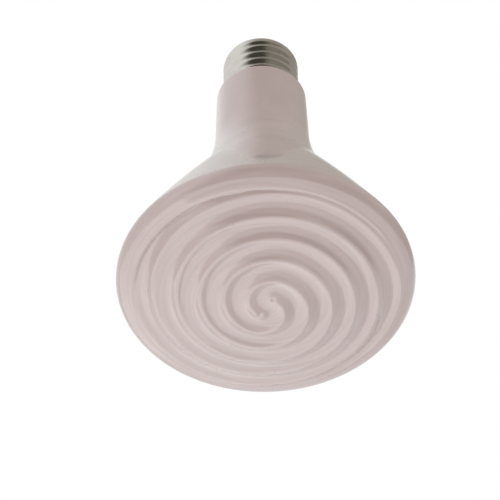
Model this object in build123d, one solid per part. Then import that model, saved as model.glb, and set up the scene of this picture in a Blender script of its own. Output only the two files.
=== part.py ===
from build123d import *
import math
import os

# Ceramic heat emitter with a screw cap.
# All sizes are in millimetres. The lamp axis is Z, the screw cap points to +Z
# and the lowest point of the domed face is the origin.

# Domed face and rim
disc_diameter = 96.0
dome_rise = 13.0
rim_radius = 3.8
rim_lip_diameter = 88.0
rim_lip_height = 0.2
rim_lip_radius = 3.2
rim_runs = 3
lip_runs = 2

# Spiral ribs on the face: two starts, each turning half a turn per rib spacing
rib_spacing = 7.75
rib_height = 1.15
rib_crest_share = 0.22
crest_half_runs = 1
valley_runs = 3
spiral_heading = -57.0
wire_dimple_diameter = 2.6
wire_floor_diameter = 0.8
wire_dimple_depth = 0.75

# Flared shoulder and neck: the shoulder ends where it is one step wider than the neck
flare_start_angle = 27.4
flare_end_angle = 31.5
flare_step = 10.0
flare_runs = 2
neck_length = 54.1
neck_runs = 3
neck_top_diameter = 30.9
neck_taper = 1.5
neck_edge_radius = 1.8
edge_runs = 2

# Screw cap
thread_diameter = 26.3
thread_root_diameter = 24.2
shell_wall = 0.45
shell_thread_length = 16.3
shell_roll_height = 4.7
roll_runs = 3
shell_mouth_diameter = 18.0
cap_end_rise = 2.7
stub_clearance = 0.1

# End of the cap
insulator_clearance = 0.12
insulator_ledge = 0.8
contact_diameter = 9.6
contact_thickness = 1.1
contact_edge = 0.4
solder_diameter = 3.4
solder_height = 0.5

# Derived sizes
disc_radius = disc_diameter / 2
rim_centre_radius = disc_radius - rim_radius
blank_rise = dome_rise + rim_lip_height
blank_radius = (rim_centre_radius**2 + blank_rise**2 - rim_radius**2) / (2 * (blank_rise - rim_radius))
dome_radius = blank_radius - rim_lip_height
rib_lean = rib_spacing / 2 / dome_radius
neck_top_radius = neck_top_diameter / 2
flare_foot_radius = rim_centre_radius + rim_radius * math.cos(math.radians(flare_start_angle))
flare_foot_height = dome_rise + rim_radius * math.sin(math.radians(flare_start_angle))
flare_top_radius = neck_top_radius + flare_step
flare_lean = math.radians(flare_start_angle + flare_end_angle) / 2
flare_top_height = flare_foot_height + (flare_foot_radius - flare_top_radius) / math.tan(flare_lean)
body_height = flare_top_height + neck_length
thread_radius = thread_diameter / 2
root_radius = thread_root_diameter / 2
shell_inner_radius = root_radius - shell_wall
stub_radius = shell_inner_radius - stub_clearance
mouth_radius = shell_mouth_diameter / 2
shell_top = body_height + shell_thread_length + shell_roll_height
cap_top = shell_top + cap_end_rise
contact_base = cap_top - contact_thickness
stub_top = body_height + shell_thread_length
contact_radius = contact_diameter / 2


def polar(angle, radius):
    """Point at an angle in radians from straight down, seen from the centre of the dome."""
    return Vector(radius * math.sin(angle), -radius * math.cos(angle))


def leaning(angle):
    """Upward direction that leans towards the lamp axis by an angle in degrees."""
    return Vector(-math.sin(math.radians(angle)), math.cos(math.radians(angle)))


def runs(curve, count):
    """Points that split a curve into straight runs, which keep its facets few."""
    steps = round(count)
    return [curve @ (index / steps) for index in range(steps + 1)]


def body_blank():
    """Body with a smooth dome, turned about the lamp axis, with the stub that carries the cap."""
    rim_centre = Vector(rim_centre_radius, dome_rise)
    dome_centre = Vector(0, dome_radius)
    dome_angle = math.asin(rim_centre_radius / (blank_radius - rim_radius))
    apex = Vector(0, -rim_lip_height)
    dome_mid = dome_centre + polar(dome_angle / 2, blank_radius)
    dome_end = dome_centre + polar(dome_angle, blank_radius)
    rim_end = Vector(flare_foot_radius, flare_foot_height)
    rim_mid = rim_centre + Vector(rim_radius, 0)
    flare_top = Vector(flare_top_radius, flare_top_height)
    flare_line = leaning(flare_end_angle)
    neck_top = Vector(neck_top_radius, body_height)
    neck_line = leaning(neck_taper)
    offset = neck_top - flare_top
    cross = flare_line.X * neck_line.Y - flare_line.Y * neck_line.X
    reach = (offset.X * neck_line.Y - offset.Y * neck_line.X) / cross
    neck_start = flare_top + flare_line * reach + neck_line * reach
    edge_side = neck_top - neck_line * neck_edge_radius
    edge_top = neck_top - Vector(neck_edge_radius, 0)
    rim = ThreePointArc(dome_end, rim_mid, rim_end)
    flare_curve = TangentArc(rim_end, flare_top, tangent=leaning(flare_start_angle))
    neck_curve = TangentArc(flare_top, neck_start, tangent=flare_line)
    edge_curve = TangentArc(edge_side, edge_top, tangent=neck_line)
    points = runs(rim, rim_runs) + runs(flare_curve, flare_runs)[1:] + runs(neck_curve, neck_runs)[1:]
    points += runs(edge_curve, edge_runs)
    points += [(stub_radius, body_height), (stub_radius, stub_top), (0, stub_top), apex]
    outline = Curve() + [ThreePointArc(apex, dome_mid, dome_end), Polyline(*points)]
    return revolve(Plane.XZ * make_face(outline), Axis.Z)


def rib_outline():
    """Section of the ribs in one half of the face: tangent arcs, crest at the centre."""
    step = rib_spacing / dome_radius
    crest_half = rib_crest_share * step / 2
    crest_drop = rib_crest_share * rib_height
    count = math.ceil(disc_radius / rib_spacing)
    flank_radius = dome_radius - crest_drop
    sag = dome_radius - flank_radius * math.cos(crest_half)
    half_chord = flank_radius * math.sin(crest_half)
    half_turn = math.atan2(sag, half_chord)
    crest_radius = half_chord / math.sin(2 * half_turn)
    first_mid = Vector(crest_radius * math.sin(half_turn), crest_radius * (1 - math.cos(half_turn)) - dome_radius)
    centre_crest = ThreePointArc(polar(0, dome_radius), first_mid, polar(crest_half, flank_radius))
    points = runs(centre_crest, crest_half_runs)[:-1]
    for index in range(count):
        start = index * step + crest_half
        valley = (index + 0.5) * step
        finish = (index + 1) * step - crest_half
        crest = (index + 1) * step
        bottom = polar(valley, dome_radius - rib_height)
        top = polar(crest, dome_radius)
        valley_curve = ThreePointArc(polar(start, flank_radius), bottom, polar(finish, flank_radius))
        crest_curve = ThreePointArc(polar(finish, flank_radius), top, polar(crest + crest_half, flank_radius))
        points += runs(valley_curve, valley_runs)[:-1] + runs(crest_curve, 2 * crest_half_runs)[:-1]
    outside = -1.5 * dome_radius
    points += [(points[-1].X, outside), (0, outside)]
    return Polyline(*points, close=True)


def ribbed_zone():
    """Space inside the rim lip that the ribs fill, with the rounded inner flank of the lip as its side."""
    lip_angle = math.asin(rim_lip_diameter / 2 / blank_radius)
    lip_top = polar(lip_angle, blank_radius + rim_lip_height / 2)
    lip_centre = polar(lip_angle, blank_radius + rim_lip_height / 2 - rim_lip_radius)
    flank_end = lip_centre + polar(lip_angle - math.radians(70), rim_lip_radius)
    flank_mid = lip_centre + polar(lip_angle - math.radians(35), rim_lip_radius)
    depth = dome_radius - 3 * rib_height
    deep = polar(lip_angle * 0.9, depth)
    outside = blank_radius + rib_height
    points = runs(ThreePointArc(lip_top, flank_mid, flank_end), lip_runs)
    points += [deep, (0, -depth), (0, -outside), (lip_top.X, -outside)]
    return Pos(0, 0, dome_radius) * revolve(Plane.XZ * make_face(Polyline(*points, close=True)), Axis.Z)


def rib_cutters():
    """Two half-turn cutters whose axes straddle the lamp axis, so that their rings join into the spiral."""
    half = revolve(Plane.XZ * make_face(rib_outline()), Axis.Z, 180)
    left = Pos(0, 0, dome_radius) * Rot(0, math.degrees(rib_lean), 0) * half
    left = left & ribbed_zone()
    right = Rot(0, 0, 180) * left
    return [Rot(0, 0, spiral_heading) * cutter for cutter in (left, right)]


def wire_dimples():
    """Small conical dimples where the two ends of the spiral rib start."""
    radius = wire_dimple_diameter / 2
    place = Vector(0, dome_radius) + polar(rib_lean, dome_radius - wire_dimple_depth)
    mouth = 2 * radius - wire_floor_diameter / 2
    foot = (Align.CENTER, Align.CENTER, Align.MAX)
    cone = Pos(place.X, 0, place.Y) * Cone(mouth, wire_floor_diameter / 2, 2 * wire_dimple_depth, align=foot)
    return [Rot(0, 0, spiral_heading + turn) * cone for turn in (0, 180)]


def ceramic_body():
    """Glazed ceramic casting: domed ribbed face, flared shoulder, neck and cap stub in one piece."""
    body = body_blank()
    for cutter in rib_cutters() + wire_dimples():
        body = body - cutter
    return body


def screw_shell():
    """Thin threaded shell of the cap, open towards the ceramic and rolled in at the far end."""
    roll_start = body_height + shell_thread_length
    roll = TangentArc((thread_radius, roll_start), (mouth_radius, shell_top), tangent=(0, 1))
    points = [(shell_inner_radius, body_height), (thread_radius, body_height)]
    points += runs(roll, roll_runs)
    points += [(mouth_radius - shell_wall, shell_top), (shell_inner_radius, roll_start)]
    return revolve(Plane.XZ * make_face(Polyline(*points, close=True)), Axis.Z)


def cap_insulator():
    """Insulating button that stands on the stub, fills the mouth of the shell and carries the contact."""
    base_radius = shell_inner_radius - insulator_clearance
    neck_radius = mouth_radius - shell_wall - insulator_clearance
    ledge_radius = contact_radius + insulator_ledge
    points = [
        (0, stub_top),
        (base_radius - insulator_clearance, stub_top),
        (neck_radius, shell_top),
        (ledge_radius, contact_base),
        (0, contact_base),
    ]
    return revolve(Plane.XZ * make_face(Polyline(*points, close=True)), Axis.Z)


def centre_contact():
    """Round contact disc with a softened edge, on the end of the insulating button."""
    disc = Cylinder(contact_radius, contact_thickness, align=(Align.CENTER, Align.CENTER, Align.MIN))
    disc = chamfer(disc.edges().group_by(Axis.Z)[-1], contact_edge)
    return Pos(0, 0, contact_base) * disc


def contact_solder():
    """Low bead of solder in the middle of the contact disc."""
    radius = solder_diameter / 2
    bead = Cylinder(radius, solder_height, align=(Align.CENTER, Align.CENTER, Align.MIN))
    bead = chamfer(bead.edges().group_by(Axis.Z)[-1], solder_height * 0.5, solder_height)
    return Pos(0, 0, cap_top) * bead


def export_parts():
    """Write each piece as one file of the parts folder."""
    os.makedirs("parts", exist_ok=True)
    export_step(ceramic_body(), "parts/ceramic_body.step")
    export_step(screw_shell(), "parts/screw_shell.step")
    export_step(cap_insulator(), "parts/cap_insulator.step")
    export_step(centre_contact(), "parts/centre_contact.step")
    export_step(contact_solder(), "parts/contact_solder.step")


if __name__ == "__main__":
    export_parts()
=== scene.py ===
import math

import bmesh
import bpy
import numpy as np
from mathutils import Matrix, Vector


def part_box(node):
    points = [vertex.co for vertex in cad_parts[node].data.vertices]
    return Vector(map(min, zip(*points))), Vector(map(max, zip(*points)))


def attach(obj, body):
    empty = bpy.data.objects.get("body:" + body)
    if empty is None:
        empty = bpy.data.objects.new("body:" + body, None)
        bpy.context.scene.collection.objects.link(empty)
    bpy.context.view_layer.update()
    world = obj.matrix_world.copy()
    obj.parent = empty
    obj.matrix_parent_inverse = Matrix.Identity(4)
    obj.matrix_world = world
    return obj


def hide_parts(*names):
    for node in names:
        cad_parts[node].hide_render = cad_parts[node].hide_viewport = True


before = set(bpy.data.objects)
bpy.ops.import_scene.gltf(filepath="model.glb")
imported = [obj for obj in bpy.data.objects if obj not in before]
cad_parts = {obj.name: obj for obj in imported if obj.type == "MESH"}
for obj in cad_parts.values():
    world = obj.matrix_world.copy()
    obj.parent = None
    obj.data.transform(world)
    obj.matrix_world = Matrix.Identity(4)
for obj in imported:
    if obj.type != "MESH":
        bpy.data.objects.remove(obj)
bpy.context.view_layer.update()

bl_info = {
    "name": "Ceramic heat emitter",
    "version": (1, 0, 0),
    "blender": (4, 5, 0),
    "location": "3D View > Sidebar > Heat emitter",
    "description": "Glazed ceramic heat emitter with a spiral ribbed face and a screw cap",
    "category": "Add Mesh",
}

# Boxes from the frame, in metres. The lamp axis is Z and the screw cap points up.
BODY_LOW, BODY_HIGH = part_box("ceramic_body")
SHELL_LOW, SHELL_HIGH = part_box("screw_shell")
BUTTON_LOW, BUTTON_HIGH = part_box("cap_insulator")
CONTACT_LOW, CONTACT_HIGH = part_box("centre_contact")
SOLDER_LOW, SOLDER_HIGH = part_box("contact_solder")

# Points nearer than this are welded into one
WELD_DISTANCE = 1e-7

# Steps along the section of the body
FACE_STEPS = 132
RIM_STEPS = 20
SHOULDER_STEPS = 28
BLEND_STEPS = 16
NECK_STEPS = 16
EDGE_STEPS = 10

# Fine shape of the face, with the flank's depth further inside counted in rib heights
LIP_BLEND = 0.0003
FLANK_SHARE = 0.94
DEPTH_INSIDE = 4
DIMPLE_FALL = 2.2

# Steps along the section of the shell
THREAD_STEPS = 64
ROLL_STEPS = 16
ROLL_INSIDE_STEPS = 10
WALL_INSIDE_STEPS = 4

# Rolled thread, which fades in at the neck and out in the first rows of the rolled end
THREAD_RUN_IN = 0.0012
THREAD_RUN_OUT = 0.0030
THREAD_PAST_END = 0.0006
THREAD_END_ROWS = 6
THREAD_ROUNDNESS = 0.9

# End of the cap, from the mouth of the shell to the solder
MOUTH_DROP = 0.0001
BUTTON_GAP = 0.00012
BUTTON_LEDGE = 0.0008
BUTTON_UNDER_CONTACT = 0.0002
CONTACT_RIM_WIDTH = 0.0012
DISH_START = 0.0018
DISH_DEPTH = 0.00012
SOLDER_SEAT = 0.0001
SOLDER_OFF_CENTRE = 0.00003
SOLDER_STEPS = 16
CAP_END_SEGMENTS = 128
SOLDER_SEGMENTS = 72

# Stage: where the camera aims from the middle of the rim, what the lamps face, and the floor
AIM_LEFT = 0.00506
AIM_UP = 0.0101
WAIST_HEIGHT = 0.05
FLOOR_HALF = 6.0


def length(name, default, description):
    """Property for a size in metres."""
    return bpy.props.FloatProperty(
        name=name, description=description, default=default, min=0.0, unit="LENGTH", precision=5
    )


def angle(name, default, description):
    """Property for an angle, with its default in degrees."""
    return bpy.props.FloatProperty(
        name=name, description=description, default=math.radians(default), unit="ROTATION"
    )


def share(name, default, description):
    """Property for a share between 0 and 1."""
    return bpy.props.FloatProperty(
        name=name, description=description, default=default, min=0.0, max=1.0, subtype="FACTOR"
    )


def colour(name, default, description):
    """Property for a linear colour."""
    return bpy.props.FloatVectorProperty(
        name=name, description=description, default=default, size=3, min=0.0, max=1.0, subtype="COLOR"
    )


def power(name, default, description):
    """Property for the power of a studio lamp."""
    return bpy.props.FloatProperty(
        name=name, description=description, default=default, min=0.0, unit="POWER"
    )


def segment_count(default):
    """Property for the number of steps around the lamp axis."""
    return bpy.props.IntProperty(
        name="Segments", description="Steps around the lamp axis", default=default, min=24
    )


class EmitterBodySettings(bpy.types.PropertyGroup):
    """Sizes of the ceramic body."""

    disc_diameter: length("Disc diameter", BODY_HIGH.y - BODY_LOW.y, "Widest part of the face")
    dome_rise: length("Dome rise", 0.013, "Height of the widest part above the lowest point")
    rim_radius: length("Rim radius", 0.0038, "Rounding between the face and the shoulder")
    lip_diameter: length("Lip diameter", 0.088, "Crest of the plain lip around the ribs")
    lip_height: length("Lip height", 0.0002, "How far the lip stands above the ribs")
    lip_flank: length("Lip flank", 0.0032, "Rounding of the inner side of the lip")
    rib_spacing: length("Rib spacing", 0.00775, "Distance from one rib to the next")
    rib_height: length("Rib height", 0.00115, "Height of a rib over its valleys")
    crest_share: share("Crest share", 0.22, "Share of the spacing that is the convex crest")
    spiral_heading: angle("Spiral heading", -57.0, "Direction in which the two ends of the spiral lie")
    dimple_diameter: length("Dimple diameter", 0.0026, "Small hollow at each end of the spiral")
    dimple_depth: length("Dimple depth", 0.00075, "Depth of the small hollows")
    flare_start: angle("Shoulder angle", 27.4, "Lean of the shoulder where it leaves the rim")
    flare_end: angle("Shoulder end angle", 31.5, "Lean of the shoulder where the neck blend starts")
    flare_step: length("Shoulder step", 0.0100, "How far the end of the shoulder stands outside the neck")
    neck_diameter: length("Neck diameter", 0.0309, "Top of the neck, at the cap")
    neck_taper: angle("Neck taper", 1.5, "Lean of the neck wall")
    neck_edge: length("Neck edge", 0.0018, "Rounding of the top edge of the neck")
    neck_height: length("Neck height", SHELL_LOW.z, "Height of the top of the neck")
    stub_radius: length("Stub radius", 0.01155, "Ceramic stub inside the cap")
    segments: segment_count(360)


class EmitterCapSettings(bpy.types.PropertyGroup):
    """Sizes of the screw cap and of what closes its end."""

    thread_pitch: length("Thread pitch", 0.003629, "Rise of the thread in one turn")
    thread_depth: length("Thread depth", 0.00105, "Depth of the rounded thread")
    thread_length: length("Thread length", 0.0163, "Height of the threaded part")
    mouth_diameter: length("Mouth diameter", 0.018, "Opening at the rolled end of the shell")
    wall: length("Wall", 0.00045, "Thickness of the shell")
    segments: segment_count(192)


class EmitterFinishSettings(bpy.types.PropertyGroup):
    """Colours of the finishes."""

    glaze_colour: colour("Glaze", (0.512, 0.398, 0.378), "Warm grey of the glaze")
    glaze_thin_colour: colour("Thin glaze", (0.606, 0.478, 0.455), "Glaze where it runs thin")
    nickel_colour: colour("Nickel", (0.630, 0.605, 0.565), "Plating of the screw shell")
    nickel_stain_colour: colour("Nickel stain", (0.430, 0.395, 0.350), "Dull patches in the plating")
    button_colour: colour("Insulator", (0.700, 0.665, 0.600), "Bare ceramic around the contact")
    contact_colour: colour("Contact", (0.730, 0.560, 0.300), "Metal of the centre contact")
    solder_colour: colour("Solder", (0.640, 0.640, 0.650), "Solder on the contact")


class EmitterStageSettings(bpy.types.PropertyGroup):
    """Camera, lamps and floor."""

    camera_distance: length("Camera distance", 0.8, "From the camera to the middle of the rim")
    camera_angle: angle("Camera angle", 42.0, "Between the line of sight and the lamp axis")
    camera_roll: angle("Camera roll", 1.4, "Turn of the camera about its line of sight")
    lens: bpy.props.FloatProperty(
        name="Lens", description="Focal length", default=180.0, min=1.0, unit="CAMERA"
    )
    table_power: power("Table lamp", 3.45, "Large soft lamp below the face")
    side_power: power("Side lamp", 0.5, "Soft lamp on the left, without reflections")
    fill_power: power("Fill lamp", 3.2, "Soft lamp over the camera, without reflections")
    sky_power: power("Sky lamp", 2.6, "Soft lamp high on the right, without reflections")
    daylight: share("Room light", 0.50, "Even light from all around")
    studio_radius: length("Studio radius", 0.9, "Distance of the dim studio that reflections show")
    floor_colour: colour("Floor", (0.86, 0.86, 0.86), "Pale floor")
    ceiling_colour: colour("Ceiling", (0.07, 0.065, 0.055), "Dark part of the studio, over the camera")
    wall_colour: colour("Wall", (0.42, 0.395, 0.350), "Dim part of the studio, to the right and behind")


def placed(name, data):
    """New object in the scene."""
    made = bpy.data.objects.new(name, data)
    bpy.context.scene.collection.objects.link(made)
    return made


def leaning(lean):
    """Upward direction in a section that leans towards the lamp axis by an angle."""
    return Vector((-math.sin(lean), math.cos(lean)))


def arc(centre, radius, start, end, steps):
    """Points on an arc between two angles in radians."""
    return [
        Vector((centre.x + radius * math.cos(turn), centre.y + radius * math.sin(turn)))
        for turn in np.linspace(start, end, steps + 1)
    ]


def tangent_arc(start, end, heading, steps):
    """Points on the arc that leaves start along a heading and reaches end."""
    chord = end - start
    side = Vector((-heading.y, heading.x)).normalized()
    radius = chord.length_squared / (2 * chord.dot(side))
    centre = start + side * radius
    first = math.atan2(start.y - centre.y, start.x - centre.x)
    sweep = 2 * math.atan2(heading.x * chord.y - heading.y * chord.x, heading.dot(chord))
    return arc(centre, abs(radius), first, first + sweep, steps)


def rounded(corners, steps=6):
    """Polyline of (radius, height, rounding) corners, with each corner rounded."""
    points = []
    for index, (x, y, rounding) in enumerate(corners):
        here = Vector((x, y))
        if rounding <= 0 or index in (0, len(corners) - 1):
            points.append(here)
            continue
        before = (Vector(corners[index - 1][:2]) - here).normalized()
        after = (Vector(corners[index + 1][:2]) - here).normalized()
        half = before.angle(after) / 2
        reach = rounding / math.tan(half)
        points += tangent_arc(here + before * reach, here + after * reach, -before, steps)
    return points


def spread(start, end, steps):
    """Points in equal steps from start to end, without the first."""
    return [start.lerp(end, step / steps) for step in range(1, steps + 1)]


def ease(value):
    """Soft change from 0 to 1."""
    value = np.clip(value, 0, 1)
    return value * value * (3 - 2 * value)


def soft_least(first, second, blend):
    """Smaller of two values, with a soft change from one to the other."""
    mix = np.maximum(blend - np.abs(first - second), 0) / blend
    return np.minimum(first, second) - mix * mix * blend / 4


def turned(name, rows, segments, shape=None, crease=35.0):
    """Object whose section of (radius, height) rows is turned about the lamp axis."""
    radii, heights = np.array([tuple(row) for row in rows]).T
    turns = np.linspace(0, 2 * np.pi, segments, endpoint=False)
    x = radii[:, None] * np.cos(turns)
    y = radii[:, None] * np.sin(turns)
    z = np.broadcast_to(heights[:, None], x.shape)
    points = np.stack([x, y, z], axis=-1)
    if shape:
        shape(points)
    index = np.arange(x.size).reshape(x.shape)
    after = np.roll(index, -1, axis=1)
    faces = np.stack([index[:-1], after[:-1], after[1:], index[1:]], axis=-1).reshape(-1, 4)
    mesh = bpy.data.meshes.new(name)
    mesh.from_pydata(points.reshape(-1, 3).tolist(), [], faces.tolist())
    welded = bmesh.new()
    welded.from_mesh(mesh)
    bmesh.ops.remove_doubles(welded, verts=welded.verts, dist=WELD_DISTANCE)
    bmesh.ops.recalc_face_normals(welded, faces=welded.faces)
    welded.to_mesh(mesh)
    welded.free()
    mesh.shade_smooth()
    mesh.set_sharp_from_angle(angle=math.radians(crease))
    return placed(name, mesh)


def fit_piece(piece, cad_node, material):
    """Give a piece its finish and put it in the place of its CAD node."""
    piece.data.materials.append(material)
    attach(piece, "root")
    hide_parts(cad_node)


def rim_middle(sizes):
    """Centre of the rim's rounding, in the section of the body."""
    return Vector((sizes.disc_diameter / 2 - sizes.rim_radius, sizes.dome_rise))


def dome_radius(sizes):
    """Radius of the smooth dome that runs into the rim and that the ribs are sunk into."""
    centre = rim_middle(sizes)
    rise = sizes.dome_rise + sizes.lip_height
    return (centre.x**2 + rise**2 - sizes.rim_radius**2) / (2 * (rise - sizes.rim_radius))


def body_section(sizes):
    """Section of the body: smooth face, rim, shoulder, blend, neck, its top edge and the stub."""
    rim_centre = rim_middle(sizes)
    dome = dome_radius(sizes)
    dome_angle = math.asin(rim_centre.x / (dome - sizes.rim_radius))
    face_end = dome_angle - math.pi / 2
    face = arc(Vector((0, dome - sizes.lip_height)), dome, -math.pi / 2, face_end, FACE_STEPS)
    rim = arc(rim_centre, sizes.rim_radius, face_end, sizes.flare_start, RIM_STEPS)

    neck_top = Vector((sizes.neck_diameter / 2, sizes.neck_height))
    neck_line = leaning(sizes.neck_taper)
    flare_line = leaning(sizes.flare_end)
    lean = (sizes.flare_start + sizes.flare_end) / 2
    inward = rim[-1].x - neck_top.x - sizes.flare_step
    flare_top = rim[-1] + Vector((-inward, inward / math.tan(lean)))
    shoulder = tangent_arc(rim[-1], flare_top, leaning(sizes.flare_start), SHOULDER_STEPS)

    offset = neck_top - flare_top
    cross = flare_line.x * neck_line.y - flare_line.y * neck_line.x
    reach = (offset.x * neck_line.y - offset.y * neck_line.x) / cross
    neck_start = flare_top + (flare_line + neck_line) * reach
    blend = tangent_arc(flare_top, neck_start, flare_line, BLEND_STEPS)
    edge_side = neck_top - neck_line * sizes.neck_edge
    neck = spread(neck_start, edge_side, NECK_STEPS)
    edge = tangent_arc(edge_side, neck_top - Vector((sizes.neck_edge, 0)), neck_line, EDGE_STEPS)
    stub = [
        Vector((sizes.stub_radius, sizes.neck_height)),
        Vector((sizes.stub_radius, BODY_HIGH.z)),
        Vector((0, BODY_HIGH.z)),
    ]
    return face + rim[1:] + shoulder[1:] + blend[1:] + neck + edge[1:] + stub


def rib_depth(points, sizes, sphere):
    """Depth of the two-start spiral ribs below their crests, at points of the face."""
    cos, sin = math.cos(sizes.spiral_heading), math.sin(sizes.spiral_heading)
    along = points[..., 0] * cos + points[..., 1] * sin
    across = points[..., 1] * cos - points[..., 0] * sin
    lean = sizes.rib_spacing / 2 / sphere
    side = np.where(across >= 0, -1.0, 1.0)
    down = sphere - points[..., 2]
    reach = np.sqrt(along**2 + across**2 + down**2)
    facing = (along * side * math.sin(lean) + down * math.cos(lean)) / reach
    distance = sphere * np.arccos(np.clip(facing, -1, 1))
    offset = np.abs(distance / sizes.rib_spacing - np.round(distance / sizes.rib_spacing))
    crest = sizes.crest_share / 2
    on_crest = sizes.crest_share * (offset / crest) ** 2
    in_valley = 1 - (1 - sizes.crest_share) * ((0.5 - offset) / (0.5 - crest)) ** 2
    depth = sizes.rib_height * np.where(offset < crest, on_crest, in_valley)
    for end in (-1, 1):
        away = np.hypot(along - end * sizes.rib_spacing / 2, across) / (sizes.dimple_diameter / 2)
        depth = depth + sizes.dimple_depth * np.exp(-DIMPLE_FALL * away**2)
    return depth


def flank_depth(arm, sizes, dome):
    """Depth of the lip's rounded inner side, which drops away below the ribs further in."""
    lip_angle = math.asin(sizes.lip_diameter / 2 / dome)
    reach = dome * (lip_angle - np.arctan2(np.hypot(arm[..., 0], arm[..., 1]), -arm[..., 2]))
    inward = np.clip(reach, 0, sizes.lip_flank)
    flank = sizes.lip_flank - np.sqrt(sizes.lip_flank**2 - inward**2) - sizes.lip_height / 2
    return np.where(reach > sizes.lip_flank * FLANK_SHARE, sizes.rib_height * DEPTH_INSIDE, flank)


def press_ribs(points, sizes):
    """Sink the valleys of the spiral and the flank of the lip into the face."""
    face = points[: FACE_STEPS + 1]
    dome = dome_radius(sizes)
    sphere = dome - sizes.lip_height
    centre = np.array([0, 0, sphere])
    arm = face - centre
    ribs = rib_depth(face, sizes, sphere) + sizes.lip_height
    depth = np.maximum(soft_least(ribs, flank_depth(arm, sizes, dome), LIP_BLEND), 0)
    face[:] = centre + arm * (1 - depth / dome)[..., None]


class HEATER_OT_ceramic_body(bpy.types.Operator):
    """Build the glazed ceramic body with its spiral ribbed face"""

    bl_idname = "heater.ceramic_body"
    bl_label = "Ceramic body"

    def execute(self, context):
        sizes = context.scene.emitter_body
        rows = body_section(sizes)
        piece = turned("emitter_body", rows, sizes.segments, lambda points: press_ribs(points, sizes))
        fit_piece(piece, "ceramic_body", glaze(context.scene.emitter_finish))
        return {"FINISHED"}


def shell_section(sizes):
    """Section of the shell: plain outside, rolled end, inside and the foot."""
    base = SHELL_LOW.z
    crest = SHELL_HIGH.x
    roll_start = base + sizes.thread_length
    mouth = Vector((sizes.mouth_diameter / 2, SHELL_HIGH.z))
    outer_foot = Vector((crest, base))
    outer_end = Vector((crest, roll_start))
    outer = [outer_foot] + spread(outer_foot, outer_end, THREAD_STEPS)
    roll = tangent_arc(outer_end, mouth, Vector((0, 1)), ROLL_STEPS)
    inner_mouth = mouth - Vector((sizes.wall, MOUTH_DROP))
    inner_end = Vector((crest - sizes.thread_depth - sizes.wall, roll_start))
    inner_roll = spread(inner_mouth, inner_end, ROLL_INSIDE_STEPS)
    inner_wall = spread(inner_end, Vector((inner_end.x, base)), WALL_INSIDE_STEPS)
    return outer + roll[1:] + [inner_mouth] + inner_roll + inner_wall + [outer_foot]


def roll_thread(points, sizes):
    """Sink the grooves of the rounded thread into the outside of the shell."""
    wall = points[: THREAD_STEPS + 1 + THREAD_END_ROWS]
    turn = np.arctan2(wall[..., 1], wall[..., 0])
    height = wall[..., 2] - SHELL_LOW.z
    phase = 2 * np.pi * height / sizes.thread_pitch - turn
    start = ease(height / THREAD_RUN_IN)
    finish = ease((sizes.thread_length + THREAD_PAST_END - height) / THREAD_RUN_OUT)
    sink = sizes.thread_depth * start * finish * (0.5 - 0.5 * np.cos(phase)) ** THREAD_ROUNDNESS
    radius = np.hypot(wall[..., 0], wall[..., 1])
    wall[..., :2] *= (1 - sink / radius)[..., None]


class HEATER_OT_screw_shell(bpy.types.Operator):
    """Build the plated screw shell with its rolled thread"""

    bl_idname = "heater.screw_shell"
    bl_label = "Screw shell"

    def execute(self, context):
        sizes = context.scene.emitter_cap
        rows = shell_section(sizes)
        piece = turned(
            "cap_shell", rows, sizes.segments, lambda points: roll_thread(points, sizes), crease=50.0
        )
        fit_piece(piece, "screw_shell", nickel(context.scene.emitter_finish))
        return {"FINISHED"}


def button_section(sizes):
    """Section of the insulating button, which fills the mouth of the shell and carries the contact."""
    mouth = sizes.mouth_diameter / 2 - sizes.wall - BUTTON_GAP
    mouth_rounding = 0.002
    ledge_rounding = 0.0005
    return rounded([
        (0, BUTTON_LOW.z, 0),
        (BUTTON_HIGH.x, BUTTON_LOW.z, 0),
        (mouth, SHELL_HIGH.z, mouth_rounding),
        (CONTACT_HIGH.x + BUTTON_LEDGE, BUTTON_HIGH.z, ledge_rounding),
        (CONTACT_HIGH.x - BUTTON_UNDER_CONTACT, BUTTON_HIGH.z, 0),
        (0, BUTTON_HIGH.z, 0),
    ])


def contact_section():
    """Section of the contact disc, with a shallow dish inside its rounded edge."""
    edge = CONTACT_HIGH.x
    top = CONTACT_HIGH.z
    dish = top - DISH_DEPTH
    edge_drop = 0.0001
    foot_rounding = 0.0001
    edge_rounding = 0.00045
    dish_rounding = 0.0004
    return rounded([
        (0, CONTACT_LOW.z, 0),
        (edge, CONTACT_LOW.z, foot_rounding),
        (edge, top - edge_drop, edge_rounding),
        (edge - CONTACT_RIM_WIDTH, top, dish_rounding),
        (edge - DISH_START, dish, dish_rounding),
        (0, dish, 0),
    ])


def solder_section():
    """Section of the solder bead, whose foot is sunk a little into the contact."""
    radius = SOLDER_HIGH.x
    crown = (SOLDER_HIGH.z - SOLDER_LOW.z) * 0.94
    foot = SOLDER_LOW.z - SOLDER_SEAT
    foot_radius = radius * 0.96
    flatness = 1.3
    rows = [Vector((0, foot)), Vector((foot_radius, foot))]
    for step in range(SOLDER_STEPS + 1):
        lean = math.pi / 2 * step / SOLDER_STEPS
        height = SOLDER_LOW.z + crown * math.sin(lean) ** flatness
        rows.append(Vector((radius * math.cos(lean), height)))
    return rows


def settle(points):
    """Give the bead the uneven outline of solder that has run."""
    turn = np.arctan2(points[..., 1], points[..., 0])
    wave = 0.5 * np.sin(2 * turn + 0.6) + 0.3 * np.sin(3 * turn + 2.0) + 0.2 * np.sin(5 * turn)
    shrink = 0.94 + 0.05 * wave
    points[..., :2] *= shrink[..., None]
    points[..., 0] += SOLDER_OFF_CENTRE


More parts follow.
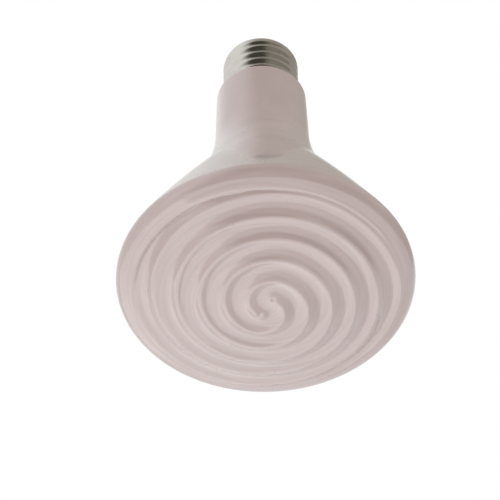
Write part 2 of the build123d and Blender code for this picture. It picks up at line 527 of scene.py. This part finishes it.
class HEATER_OT_cap_end(bpy.types.Operator):
    """Build the insulating button, the contact disc and its solder"""

    bl_idname = "heater.cap_end"
    bl_label = "End of the cap"

    def execute(self, context):
        finish = context.scene.emitter_finish
        button = turned("insulating_button", button_section(context.scene.emitter_cap), CAP_END_SEGMENTS)
        fit_piece(button, "cap_insulator", bare_ceramic(finish))
        disc = turned("contact_disc", contact_section(), CAP_END_SEGMENTS)
        fit_piece(disc, "centre_contact", contact_metal(finish))
        bead = turned("solder_bead", solder_section(), SOLDER_SEGMENTS, settle)
        fit_piece(bead, "contact_solder", tin(finish))
        return {"FINISHED"}


def node(tree, kind, inputs=None, **options):
    """New shader node with its options and inputs set; an input that is a socket is linked."""
    made = tree.nodes.new(kind)
    for name, value in options.items():
        setattr(made, name, value)
    for name, value in (inputs or {}).items():
        if isinstance(value, bpy.types.NodeSocket):
            tree.links.new(value, made.inputs[name])
        else:
            made.inputs[name].default_value = value
    return made


def finish_base(name, **inputs):
    """New material with its tree, its shader and object coordinates."""
    material = bpy.data.materials.new(name)
    material.use_nodes = True
    tree = material.node_tree
    shader = tree.nodes["Principled BSDF"]
    for key, value in inputs.items():
        shader.inputs[key.replace("_", " ")].default_value = value
    place = tree.nodes.new("ShaderNodeTexCoord").outputs["Object"]
    return material, tree, shader, place


def connect(tree, shader, **values):
    """Link values to the inputs of a shader, named with underscores for spaces."""
    for key, value in values.items():
        tree.links.new(value, shader.inputs[key.replace("_", " ")])


def noise(tree, place, scale, detail=2.0, roughness=0.5):
    """Value of a noise texture at a place."""
    inputs = {"Vector": place, "Scale": scale, "Detail": detail, "Roughness": roughness}
    return node(tree, "ShaderNodeTexNoise", inputs).outputs["Fac"]


def stretch(tree, place, scale):
    """Coordinates scaled by a vector, for marks that run one way."""
    return node(tree, "ShaderNodeMapping", {"Vector": place, "Scale": scale}).outputs["Vector"]


def spread_value(tree, value, low, high, start=0.3, end=0.7, **options):
    """Value moved from one range to another."""
    inputs = {"Value": value, "From Min": start, "From Max": end, "To Min": low, "To Max": high}
    return node(tree, "ShaderNodeMapRange", inputs, **options).outputs["Result"]


def smooth_step(tree, value, start, end):
    """Value that goes softly from 0 to 1 between two levels."""
    return spread_value(tree, value, 0.0, 1.0, start, end, interpolation_type="SMOOTHSTEP")


def combined(tree, operation, first, second, third=0.0):
    """Result of a math node."""
    inputs = {0: first, 1: second, 2: third}
    return node(tree, "ShaderNodeMath", inputs, operation=operation).outputs["Value"]


def mix_colours(tree, amount, first, second):
    """Colour between two colours or sockets."""
    made = node(tree, "ShaderNodeMix", data_type="RGBA")
    tree.links.new(amount, made.inputs["Factor"])
    for name, value in (("A", first), ("B", second)):
        socket = [s for s in made.inputs if s.name == name and s.type == "RGBA"][0]
        if isinstance(value, bpy.types.NodeSocket):
            tree.links.new(value, socket)
        else:
            socket.default_value = (*value, 1.0)
    return [s for s in made.outputs if s.type == "RGBA"][0]


def bump(tree, height, distance, below=None):
    """Normal raised by a height, over another bump where there is one."""
    inputs = {"Height": height, "Distance": distance, "Strength": 1.0}
    if below is not None:
        inputs["Normal"] = below
    return node(tree, "ShaderNodeBump", inputs).outputs["Normal"]


def mix_shaders(tree, amount, first, second):
    """Make the surface go from one shader to another."""
    both = node(tree, "ShaderNodeMixShader", {0: amount, 1: first, 2: second})
    tree.links.new(both.outputs["Shader"], tree.nodes["Material Output"].inputs["Surface"])


def throwing_lines(tree, place):
    """Fine uneven rings around the lamp axis, which turning leaves under the glaze."""
    parts = node(tree, "ShaderNodeSeparateXYZ", {"Vector": place}).outputs
    flat = node(tree, "ShaderNodeCombineXYZ", {"X": parts["X"], "Y": parts["Y"]}).outputs["Vector"]
    radius = node(tree, "ShaderNodeVectorMath", {0: flat}, operation="LENGTH").outputs["Value"]
    slow = stretch(tree, flat, (0.05, 0.05, 0.0))
    ring = node(tree, "ShaderNodeCombineXYZ", {"Z": radius}).outputs["Vector"]
    spot = node(tree, "ShaderNodeVectorMath", {0: ring, 1: slow}, operation="ADD").outputs["Vector"]
    return noise(tree, spot, scale=850.0, detail=3.0, roughness=0.55)


def glaze(finish):
    """Warm grey glaze with a soft orange-peel gloss, thinner and lighter in patches and streaks."""
    material, tree, shader, place = finish_base(
        "warm_grey_glaze", Coat_Weight=1.0, Coat_Roughness=0.06, Coat_IOR=1.75, IOR=1.5
    )
    lines = throwing_lines(tree, place)
    patches = spread_value(tree, noise(tree, place, scale=34.0, detail=3.0), low=0.0, high=0.4)
    streaks = spread_value(tree, lines, low=0.0, high=0.6, start=0.38, end=0.62)
    thin = combined(tree, "ADD", patches, streaks)
    tone = mix_colours(tree, thin, finish.glaze_colour, finish.glaze_thin_colour)
    gloss = spread_value(tree, noise(tree, place, scale=120.0, detail=4.0), low=0.26, high=0.38)
    waves = bump(tree, noise(tree, place, scale=70.0), distance=0.00012)
    sag = bump(tree, lines, distance=0.00004, below=waves)
    peel = bump(tree, noise(tree, place, scale=900.0), distance=0.000008, below=sag)
    connect(tree, shader, Base_Color=tone, Roughness=gloss, Normal=peel, Coat_Normal=sag)
    return material


def nickel(finish):
    """Bright nickel plating with faint drawing marks and dull patches."""
    material, tree, shader, place = finish_base("nickel_plating", Metallic=1.0)
    cloud = noise(tree, place, scale=320.0, detail=5.0, roughness=0.6)
    stains = spread_value(tree, cloud, low=0.0, high=0.4, start=0.46, end=0.72)
    tone = mix_colours(tree, stains, finish.nickel_colour, finish.nickel_stain_colour)
    handling = noise(tree, place, scale=260.0, detail=5.0, roughness=0.65)
    gloss = spread_value(tree, handling, low=0.08, high=0.20)
    lines = noise(tree, stretch(tree, place, (60.0, 60.0, 2600.0)), scale=1.0, detail=3.0)
    marks = bump(tree, lines, distance=0.000012)
    dents = bump(tree, noise(tree, place, scale=210.0), distance=0.00003, below=marks)
    connect(tree, shader, Base_Color=tone, Roughness=gloss, Normal=dents)
    return material


def bare_ceramic(finish):
    """Unglazed fine ceramic with a dry grain and a few darker grains."""
    material, tree, shader, place = finish_base("bare_ceramic", IOR=1.5)
    grains = spread_value(tree, noise(tree, place, scale=1900.0), low=0.0, high=0.6, start=0.60, end=0.72)
    dark = tuple(0.6 * value for value in finish.button_colour)
    tone = mix_colours(tree, grains, finish.button_colour, dark)
    gloss = spread_value(tree, noise(tree, place, scale=500.0, detail=3.0), low=0.55, high=0.78)
    grain = bump(tree, noise(tree, place, scale=1600.0, detail=4.0, roughness=0.6), distance=0.00006)
    connect(tree, shader, Base_Color=tone, Roughness=gloss, Normal=grain)
    return material


def contact_metal(finish):
    """Yellow metal of the contact, tarnished in patches, with rub marks that run one way."""
    material, tree, shader, place = finish_base("contact_brass", Metallic=1.0)
    dull = tuple(0.55 * value for value in finish.contact_colour)
    cloud = noise(tree, place, scale=420.0, detail=5.0, roughness=0.6)
    tarnish = spread_value(tree, cloud, low=0.0, high=0.6, start=0.45, end=0.75)
    tone = mix_colours(tree, tarnish, finish.contact_colour, dull)
    gloss = spread_value(tree, noise(tree, place, scale=700.0, detail=4.0), low=0.20, high=0.42)
    rubs = noise(tree, stretch(tree, place, (240.0, 4200.0, 240.0)), scale=1.0, detail=3.0)
    connect(tree, shader, Base_Color=tone, Roughness=gloss, Normal=bump(tree, rubs, distance=0.00001))
    return material


def tin(finish):
    """Solder with a frosty, slightly grainy surface."""
    material, tree, shader, place = finish_base("tin_solder", Metallic=1.0)
    dull = tuple(0.7 * value for value in finish.solder_colour)
    frost = spread_value(tree, noise(tree, place, scale=1400.0, detail=4.0), low=0.0, high=1.0)
    tone = mix_colours(tree, frost, finish.solder_colour, dull)
    gloss = spread_value(tree, noise(tree, place, scale=900.0, detail=3.0), low=0.22, high=0.45)
    dimples = bump(tree, noise(tree, place, scale=1100.0, detail=3.0), distance=0.00005)
    connect(tree, shader, Base_Color=tone, Roughness=gloss, Normal=dimples)
    return material


def dim_studio(sizes):
    """Studio that is dark over the camera, dim at the right and behind, clear at the left and below."""
    material, tree, shader, place = finish_base("dim_studio")
    tree.nodes.remove(shader)
    away = node(tree, "ShaderNodeVectorMath", {0: place}, operation="NORMALIZE").outputs["Vector"]
    parts = node(tree, "ShaderNodeSeparateXYZ", {"Vector": away}).outputs
    to_right, to_top, to_camera = parts["X"], parts["Y"], parts["Z"]
    height = combined(tree, "MULTIPLY_ADD", to_camera, 0.21, to_top)
    height = combined(tree, "MULTIPLY_ADD", smooth_step(tree, to_right, 0.50, 1.00), 0.3, height)
    side = combined(tree, "MULTIPLY_ADD", to_camera, 0.3, to_right)
    left_edge = smooth_step(tree, side, -0.66, -0.12)
    low_edge = smooth_step(tree, height, -0.24, 0.02)
    cover = combined(tree, "MULTIPLY", left_edge, low_edge)
    beside = combined(tree, "MULTIPLY", smooth_step(tree, to_right, 0.10, 0.50), 0.6)
    front = smooth_step(tree, to_camera, 0.0, 0.40)
    lighter = combined(tree, "MAXIMUM", beside, combined(tree, "SUBTRACT", 1.0, front))
    tone = mix_colours(tree, lighter, sizes.ceiling_colour, sizes.wall_colour)
    glow = node(tree, "ShaderNodeEmission", {"Color": tone}).outputs["Emission"]
    clear = node(tree, "ShaderNodeBsdfTransparent").outputs["BSDF"]
    mix_shaders(tree, cover, clear, glow)
    return material


def floor_finish(tone):
    """Pale matt floor that shows only from above, so that the face can be seen from below."""
    material, tree, shader, place = finish_base("pale_floor", Roughness=0.85)
    darker = tuple(0.985 * value for value in tone)
    shade = mix_colours(tree, noise(tree, place, scale=3.0, detail=3.0), tone, darker)
    connect(tree, shader, Base_Color=shade)
    clear = node(tree, "ShaderNodeBsdfTransparent").outputs["BSDF"]
    under = node(tree, "ShaderNodeNewGeometry").outputs["Backfacing"]
    mix_shaders(tree, under, shader.outputs["BSDF"], clear)
    return material


def white_surroundings(level):
    """White world for the camera and for reflections, and a plain level of light from all around."""
    world = bpy.data.worlds.new("white_surroundings")
    bpy.context.scene.world = world
    world.use_nodes = True
    tree = world.node_tree
    background = tree.nodes["Background"]
    background.inputs["Color"].default_value = (1.0, 1.0, 1.0, 1.0)
    rays = node(tree, "ShaderNodeLightPath").outputs
    seen = combined(tree, "MAXIMUM", rays["Is Camera Ray"], rays["Is Transmission Ray"])
    shown = combined(tree, "MAXIMUM", seen, rays["Is Glossy Ray"])
    strength = spread_value(tree, shown, low=level, high=1.0, start=0.0, end=1.0)
    tree.links.new(strength, background.inputs["Strength"])


def standing(place, axes):
    """Matrix of an object at a place, whose own axes point along three given ones."""
    return Matrix.Translation(place) @ Matrix(axes).transposed().to_4x4()


def photo_camera(sizes, middle):
    """Camera at the photograph's viewing angle; gives its axes to the right, up and back."""
    sight = Vector((0, math.sin(sizes.camera_angle), math.cos(sizes.camera_angle)))
    level = Vector((1, 0, 0))
    rise = level.cross(sight)
    up = rise * math.cos(sizes.camera_roll) + level * math.sin(sizes.camera_roll)
    right = sight.cross(up)
    place = middle - sight * sizes.camera_distance
    aim = middle - right * AIM_LEFT + up * AIM_UP
    back = (place - aim).normalized()
    right = up.cross(back).normalized()
    up = back.cross(right)
    lens = bpy.data.cameras.new("photo_camera")
    lens.lens = sizes.lens
    lens.sensor_width = 36.0
    lens.clip_start = 0.05
    camera = placed("photo_camera", lens)
    camera.matrix_world = standing(place, (right, up, back))
    bpy.context.scene.camera = camera
    return right, up, back


def studio_lamp(name, place, target, size, watts, reflected=False):
    """Square soft lamp that faces a point."""
    data = bpy.data.lights.new(name, "AREA")
    data.shape = "SQUARE"
    data.size = size
    data.energy = watts
    lamp = placed(name, data)
    lamp.location = place
    lamp.rotation_euler = (target - place).to_track_quat("-Z", "Y").to_euler()
    lamp.visible_glossy = reflected


def studio_shell(centre, axes, sizes):
    """Ball around the object that carries the dim studio, which is seen in reflections alone."""
    ball = bmesh.new()
    bmesh.ops.create_icosphere(ball, subdivisions=4, radius=sizes.studio_radius)
    mesh = bpy.data.meshes.new("studio_shell")
    ball.to_mesh(mesh)
    ball.free()
    mesh.materials.append(dim_studio(sizes))
    shell = placed("studio_shell", mesh)
    shell.matrix_world = standing(centre, axes)
    shell.visible_camera = False
    shell.visible_diffuse = False
    shell.visible_shadow = False
    shell.visible_transmission = False


def floor_sheet(sizes):
    """Wide floor under the object, which is seen and takes shadows but lights nothing."""
    half = FLOOR_HALF
    corners = [(-half, -half, 0), (half, -half, 0), (half, half, 0), (-half, half, 0)]
    mesh = bpy.data.meshes.new("floor")
    mesh.from_pydata(corners, [], [(0, 1, 2, 3)])
    mesh.materials.append(floor_finish(sizes.floor_colour))
    floor = placed("floor", mesh)
    floor.visible_diffuse = False
    floor.visible_glossy = False
    floor.visible_transmission = False
    floor.visible_shadow = False


class HEATER_OT_stage(bpy.types.Operator):
    """Set up the camera, the lamps, the floor and the white surroundings"""

    bl_idname = "heater.stage"
    bl_label = "Stage"

    def execute(self, context):
        scene = context.scene
        sizes = scene.emitter_stage
        right, up, back = photo_camera(sizes, Vector((0, 0, scene.emitter_body.dome_rise)))
        waist = Vector((0, 0, WAIST_HEIGHT))
        below = waist - up * 0.85 + back * 0.10 - right * 0.32
        left = waist - right * 0.95 + back * 0.20
        front = waist + up * 0.45 + back * 0.90
        above = waist + right * 0.90 + Vector((0, 0, 0.80))
        studio_lamp("table_lamp", below, waist, size=1.20, watts=sizes.table_power, reflected=True)
        studio_lamp("side_lamp", left, waist, size=0.45, watts=sizes.side_power)
        studio_lamp("fill_lamp", front, waist, size=0.70, watts=sizes.fill_power)
        studio_lamp("sky_lamp", above, waist, size=0.60, watts=sizes.sky_power)
        studio_shell(waist, (right, up, back), sizes)
        floor_sheet(sizes)
        white_surroundings(sizes.daylight)
        scene.view_settings.view_transform = "Standard"
        return {"FINISHED"}


class HEATER_PT_panel(bpy.types.Panel):
    """Pieces and settings of the heat emitter"""

    bl_idname = "HEATER_PT_panel"
    bl_label = "Heat emitter"
    bl_space_type = "VIEW_3D"
    bl_region_type = "UI"
    bl_category = "Heat emitter"

    def draw(self, context):
        layout = self.layout
        for operator in OPERATORS:
            layout.operator(operator.bl_idname)
        for name, group in SETTINGS.items():
            box = layout.box()
            box.label(text=group.__doc__)
            for key in group.__annotations__:
                box.prop(getattr(context.scene, name), key)


SETTINGS = {
    "emitter_body": EmitterBodySettings,
    "emitter_cap": EmitterCapSettings,
    "emitter_finish": EmitterFinishSettings,
    "emitter_stage": EmitterStageSettings,
}
OPERATORS = (HEATER_OT_ceramic_body, HEATER_OT_screw_shell, HEATER_OT_cap_end, HEATER_OT_stage)


def register():
    """Register the classes and put the settings on the scene."""
    for name, group in SETTINGS.items():
        bpy.utils.register_class(group)
        setattr(bpy.types.Scene, name, bpy.props.PointerProperty(type=group))
    for kind in (*OPERATORS, HEATER_PT_panel):
        bpy.utils.register_class(kind)


def unregister():
    """Take the classes and the settings away again."""
    for kind in (HEATER_PT_panel, *reversed(OPERATORS)):
        bpy.utils.unregister_class(kind)
    for name, group in reversed(SETTINGS.items()):
        delattr(bpy.types.Scene, name)
        bpy.utils.unregister_class(group)


def main():
    """Build every piece and the stage."""
    register()
    bpy.ops.heater.ceramic_body()
    bpy.ops.heater.screw_shell()
    bpy.ops.heater.cap_end()
    bpy.ops.heater.stage()


if __name__ == "__main__":
    main()
